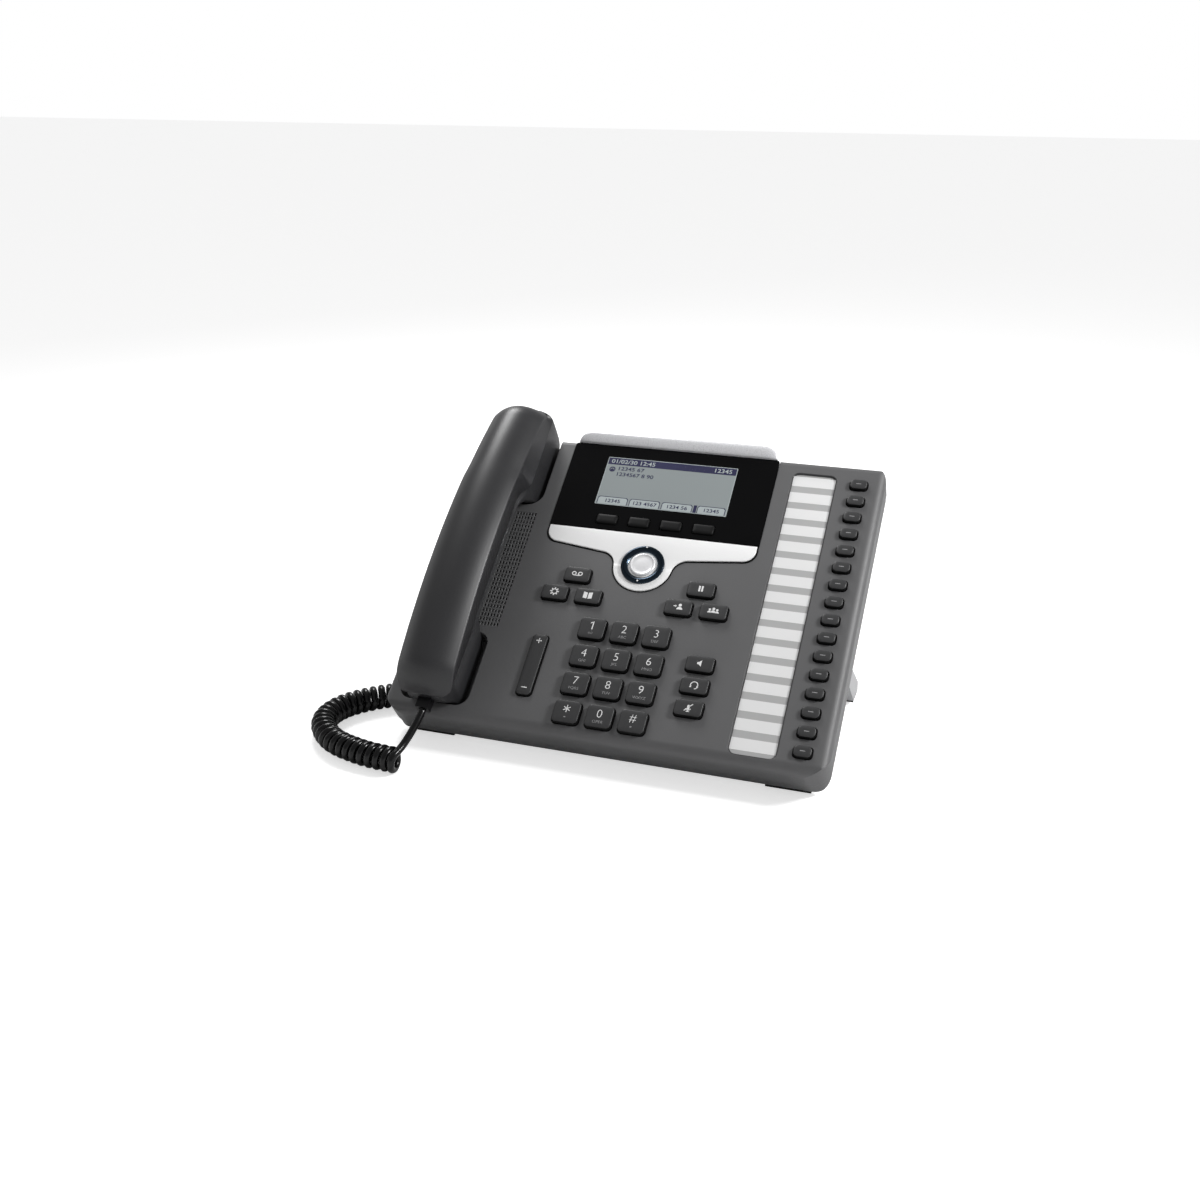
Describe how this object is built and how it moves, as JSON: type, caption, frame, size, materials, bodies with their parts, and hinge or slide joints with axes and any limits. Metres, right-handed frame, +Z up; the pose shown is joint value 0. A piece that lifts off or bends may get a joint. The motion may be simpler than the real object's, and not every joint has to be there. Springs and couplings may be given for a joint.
{
  "type": "desk telephone",
  "caption": "Tilted desk telephone with corded handset in cradles, display, number, function and line keys, rocker, navigation ring, folding foot stand and curly cord.",
  "frame": {"origin": "centre of the bounding box of the phone without its cord, on the desk", "axes": "+X to the right as the user sees it, +Y away from the user, +Z up"},
  "size_m": [0.3111, 0.2195, 0.1712],
  "materials": {
    "housing": "fine satin texture",
    "handset": "satin",
    "key": "satin",
    "line_key": "satin",
    "window": "gloss",
    "lcd": "satin",
    "trim": "silver paint",
    "bar": "satin silver",
    "label": "printed card",
    "board": "solder mask",
    "jack": "moulded",
    "mat": "silicone",
    "speaker": "moulded basket",
    "screw": "plated",
    "stand": "satin light grey",
    "foot": "matte",
    "ring": "metallic lacquer",
    "select": "satin silver",
    "plug": "clear dark",
    "cord": "gloss"
  },
  "bodies": {
    "base": {"front_housing": "housing", "back_cover": "housing", "display_window": "window", "lcd_module": "lcd", "nav_trim": "trim", "label_card": "label", "message_bar": "bar", "circuit_board": "board", "jack_block": "jack", "key_mat": "mat", "loudspeaker": "speaker", "housing_screws": "screw", "front_feet": "foot", "base_plug": "plug", "cord_coil": "cord", "cord_lead": "cord", "cord_tail": "cord"},
    "stand": {"foot_stand": "stand", "stand_feet": "foot"},
    "hook": {"hook_switch": "key"},
    "handset": {"handset_outer_shell": "handset", "handset_inner_shell": "handset", "handset_capsules": "speaker", "handset_plug": "plug"},
    "rocker": {"volume_rocker": "key"},
    "ring": {"nav_ring": "ring"},
    "select": {"select_button": "select"},
    "number_key_1": {"number_key_1": "key"},
    "number_key_2": {"number_key_2": "key"},
    "number_key_3": {"number_key_3": "key"},
    "number_key_4": {"number_key_4": "key"},
    "number_key_5": {"number_key_5": "key"},
    "number_key_6": {"number_key_6": "key"},
    "number_key_7": {"number_key_7": "key"},
    "number_key_8": {"number_key_8": "key"},
    "number_key_9": {"number_key_9": "key"},
    "number_key_star": {"number_key_star": "key"},
    "number_key_0": {"number_key_0": "key"},
    "number_key_hash": {"number_key_hash": "key"},
    "messages_key": {"messages_key": "key"},
    "settings_key": {"settings_key": "key"},
    "contacts_key": {"contacts_key": "key"},
    "hold_key": {"hold_key": "key"},
    "transfer_key": {"transfer_key": "key"},
    "conference_key": {"conference_key": "key"},
    "speaker_key": {"speaker_key": "key"},
    "headset_key": {"headset_key": "key"},
    "mute_key": {"mute_key": "key"},
    "soft_key_1": {"soft_key_1": "key"},
    "soft_key_2": {"soft_key_2": "key"},
    "soft_key_3": {"soft_key_3": "key"},
    "soft_key_4": {"soft_key_4": "key"},
    "line_keys_01_02": {"line_keys_01_02": "line_key"},
    "line_keys_03_04": {"line_keys_03_04": "line_key"},
    "line_keys_05_06": {"line_keys_05_06": "line_key"},
    "line_keys_07_08": {"line_keys_07_08": "line_key"},
    "line_keys_09_10": {"line_keys_09_10": "line_key"},
    "line_keys_11_12": {"line_keys_11_12": "line_key"},
    "line_keys_13_14": {"line_keys_13_14": "line_key"},
    "line_keys_15_16": {"line_keys_15_16": "line_key"}
  },
  "joints": [
    {"name": "number_key_1_press", "type": "slide", "parent": "base", "child": "number_key_1", "axis": [0, 0.5962, -0.8028], "range_m": [0, 0.0012], "stiffness_N_per_m": 400, "springref_m": -0.0006},
    {"name": "number_key_2_press", "type": "slide", "parent": "base", "child": "number_key_2", "axis": [0, 0.5962, -0.8028], "range_m": [0, 0.0012], "stiffness_N_per_m": 400, "springref_m": -0.0006},
    {"name": "number_key_3_press", "type": "slide", "parent": "base", "child": "number_key_3", "axis": [0, 0.5962, -0.8028], "range_m": [0, 0.0012], "stiffness_N_per_m": 400, "springref_m": -0.0006},
    {"name": "number_key_4_press", "type": "slide", "parent": "base", "child": "number_key_4", "axis": [0, 0.5962, -0.8028], "range_m": [0, 0.0012], "stiffness_N_per_m": 400, "springref_m": -0.0006},
    {"name": "number_key_5_press", "type": "slide", "parent": "base", "child": "number_key_5", "axis": [0, 0.5962, -0.8028], "range_m": [0, 0.0012], "stiffness_N_per_m": 400, "springref_m": -0.0006},
    {"name": "number_key_6_press", "type": "slide", "parent": "base", "child": "number_key_6", "axis": [0, 0.5962, -0.8028], "range_m": [0, 0.0012], "stiffness_N_per_m": 400, "springref_m": -0.0006},
    {"name": "number_key_7_press", "type": "slide", "parent": "base", "child": "number_key_7", "axis": [0, 0.5962, -0.8028], "range_m": [0, 0.0012], "stiffness_N_per_m": 400, "springref_m": -0.0006},
    {"name": "number_key_8_press", "type": "slide", "parent": "base", "child": "number_key_8", "axis": [0, 0.5962, -0.8028], "range_m": [0, 0.0012], "stiffness_N_per_m": 400, "springref_m": -0.0006},
    {"name": "number_key_9_press", "type": "slide", "parent": "base", "child": "number_key_9", "axis": [0, 0.5962, -0.8028], "range_m": [0, 0.0012], "stiffness_N_per_m": 400, "springref_m": -0.0006},
    {"name": "number_key_star_press", "type": "slide", "parent": "base", "child": "number_key_star", "axis": [0, 0.5962, -0.8028], "range_m": [0, 0.0012], "stiffness_N_per_m": 400, "springref_m": -0.0006},
    {"name": "number_key_0_press", "type": "slide", "parent": "base", "child": "number_key_0", "axis": [0, 0.5962, -0.8028], "range_m": [0, 0.0012], "stiffness_N_per_m": 400, "springref_m": -0.0006},
    {"name": "number_key_hash_press", "type": "slide", "parent": "base", "child": "number_key_hash", "axis": [0, 0.5962, -0.8028], "range_m": [0, 0.0012], "stiffness_N_per_m": 400, "springref_m": -0.0006},
    {"name": "messages_key_press", "type": "slide", "parent": "base", "child": "messages_key", "axis": [0, 0.5962, -0.8028], "range_m": [0, 0.0012], "stiffness_N_per_m": 400, "springref_m": -0.0006},
    {"name": "settings_key_press", "type": "slide", "parent": "base", "child": "settings_key", "axis": [0, 0.5962, -0.8028], "range_m": [0, 0.0012], "stiffness_N_per_m": 400, "springref_m": -0.0006},
    {"name": "contacts_key_press", "type": "slide", "parent": "base", "child": "contacts_key", "axis": [0, 0.5962, -0.8028], "range_m": [0, 0.0012], "stiffness_N_per_m": 400, "springref_m": -0.0006},
    {"name": "hold_key_press", "type": "slide", "parent": "base", "child": "hold_key", "axis": [0, 0.5962, -0.8028], "range_m": [0, 0.0012], "stiffness_N_per_m": 400, "springref_m": -0.0006},
    {"name": "transfer_key_press", "type": "slide", "parent": "base", "child": "transfer_key", "axis": [0, 0.5962, -0.8028], "range_m": [0, 0.0012], "stiffness_N_per_m": 400, "springref_m": -0.0006},
    {"name": "conference_key_press", "type": "slide", "parent": "base", "child": "conference_key", "axis": [0, 0.5962, -0.8028], "range_m": [0, 0.0012], "stiffness_N_per_m": 400, "springref_m": -0.0006},
    {"name": "speaker_key_press", "type": "slide", "parent": "base", "child": "speaker_key", "axis": [0, 0.5962, -0.8028], "range_m": [0, 0.0012], "stiffness_N_per_m": 400, "springref_m": -0.0006},
    {"name": "headset_key_press", "type": "slide", "parent": "base", "child": "headset_key", "axis": [0, 0.5962, -0.8028], "range_m": [0, 0.0012], "stiffness_N_per_m": 400, "springref_m": -0.0006},
    {"name": "mute_key_press", "type": "slide", "parent": "base", "child": "mute_key", "axis": [0, 0.5962, -0.8028], "range_m": [0, 0.0012], "stiffness_N_per_m": 400, "springref_m": -0.0006},
    {"name": "soft_key_1_press", "type": "slide", "parent": "base", "child": "soft_key_1", "axis": [0, 0.5962, -0.8028], "range_m": [0, 0.0012], "stiffness_N_per_m": 400, "springref_m": -0.0006},
    {"name": "soft_key_2_press", "type": "slide", "parent": "base", "child": "soft_key_2", "axis": [0, 0.5962, -0.8028], "range_m": [0, 0.0012], "stiffness_N_per_m": 400, "springref_m": -0.0006},
    {"name": "soft_key_3_press", "type": "slide", "parent": "base", "child": "soft_key_3", "axis": [0, 0.5962, -0.8028], "range_m": [0, 0.0012], "stiffness_N_per_m": 400, "springref_m": -0.0006},
    {"name": "soft_key_4_press", "type": "slide", "parent": "base", "child": "soft_key_4", "axis": [0, 0.5962, -0.8028], "range_m": [0, 0.0012], "stiffness_N_per_m": 400, "springref_m": -0.0006},
    {"name": "line_keys_01_02_press", "type": "slide", "parent": "base", "child": "line_keys_01_02", "axis": [0, 0.5962, -0.8028], "range_m": [0, 0.0012], "stiffness_N_per_m": 500, "springref_m": -0.0006},
    {"name": "line_keys_03_04_press", "type": "slide", "parent": "base", "child": "line_keys_03_04", "axis": [0, 0.5962, -0.8028], "range_m": [0, 0.0012], "stiffness_N_per_m": 500, "springref_m": -0.0006},
    {"name": "line_keys_05_06_press", "type": "slide", "parent": "base", "child": "line_keys_05_06", "axis": [0, 0.5962, -0.8028], "range_m": [0, 0.0012], "stiffness_N_per_m": 500, "springref_m": -0.0006},
    {"name": "line_keys_07_08_press", "type": "slide", "parent": "base", "child": "line_keys_07_08", "axis": [0, 0.5962, -0.8028], "range_m": [0, 0.0012], "stiffness_N_per_m": 500, "springref_m": -0.0006},
    {"name": "line_keys_09_10_press", "type": "slide", "parent": "base", "child": "line_keys_09_10", "axis": [0, 0.5962, -0.8028], "range_m": [0, 0.0012], "stiffness_N_per_m": 500, "springref_m": -0.0006},
    {"name": "line_keys_11_12_press", "type": "slide", "parent": "base", "child": "line_keys_11_12", "axis": [0, 0.5962, -0.8028], "range_m": [0, 0.0012], "stiffness_N_per_m": 500, "springref_m": -0.0006},
    {"name": "line_keys_13_14_press", "type": "slide", "parent": "base", "child": "line_keys_13_14", "axis": [0, 0.5962, -0.8028], "range_m": [0, 0.0012], "stiffness_N_per_m": 500, "springref_m": -0.0006},
    {"name": "line_keys_15_16_press", "type": "slide", "parent": "base", "child": "line_keys_15_16", "axis": [0, 0.5962, -0.8028], "range_m": [0, 0.0012], "stiffness_N_per_m": 500, "springref_m": -0.0006},
    {"name": "select_button_press", "type": "slide", "parent": "base", "child": "select", "axis": [0, 0.5962, -0.8028], "range_m": [0, 0.0012], "stiffness_N_per_m": 500, "springref_m": -0.0006},
    {"name": "volume_rocker_tilt", "type": "hinge", "parent": "base", "child": "rocker", "pos_m": [-0.04825, -0.05078, 0.04455], "axis": [1, 0, 0], "range_deg": [-2.5, 2.5], "stiffness_Nm_per_rad": 0.35},
    {"name": "nav_ring_rock", "type": "hinge", "parent": "base", "child": "ring", "pos_m": [-0.0003, 0.01068, 0.09094], "axis": [1, 0, 0], "range_deg": [-1.5, 1.5], "stiffness_Nm_per_rad": 0.5},
    {"name": "handset_lift", "type": "slide", "parent": "base", "child": "handset", "axis": [0, -0.5962, 0.8028], "range_m": [0, 0.06], "deforming": ["cord_tail"]},
    {"name": "hook_switch_rise", "type": "slide", "parent": "base", "child": "hook", "axis": [0, -0.5962, 0.8028], "range_m": [0, 0.003]},
    {"name": "foot_stand_fold", "type": "hinge", "parent": "base", "child": "stand", "pos_m": [0, 0.00437, 0.04913], "axis": [1, 0, 0], "range_deg": [0, 72]}
  ],
  "couplings": [
    {"joint": "hook_switch_rise", "follows": "handset_lift", "ratio": 0.05}
  ]
}
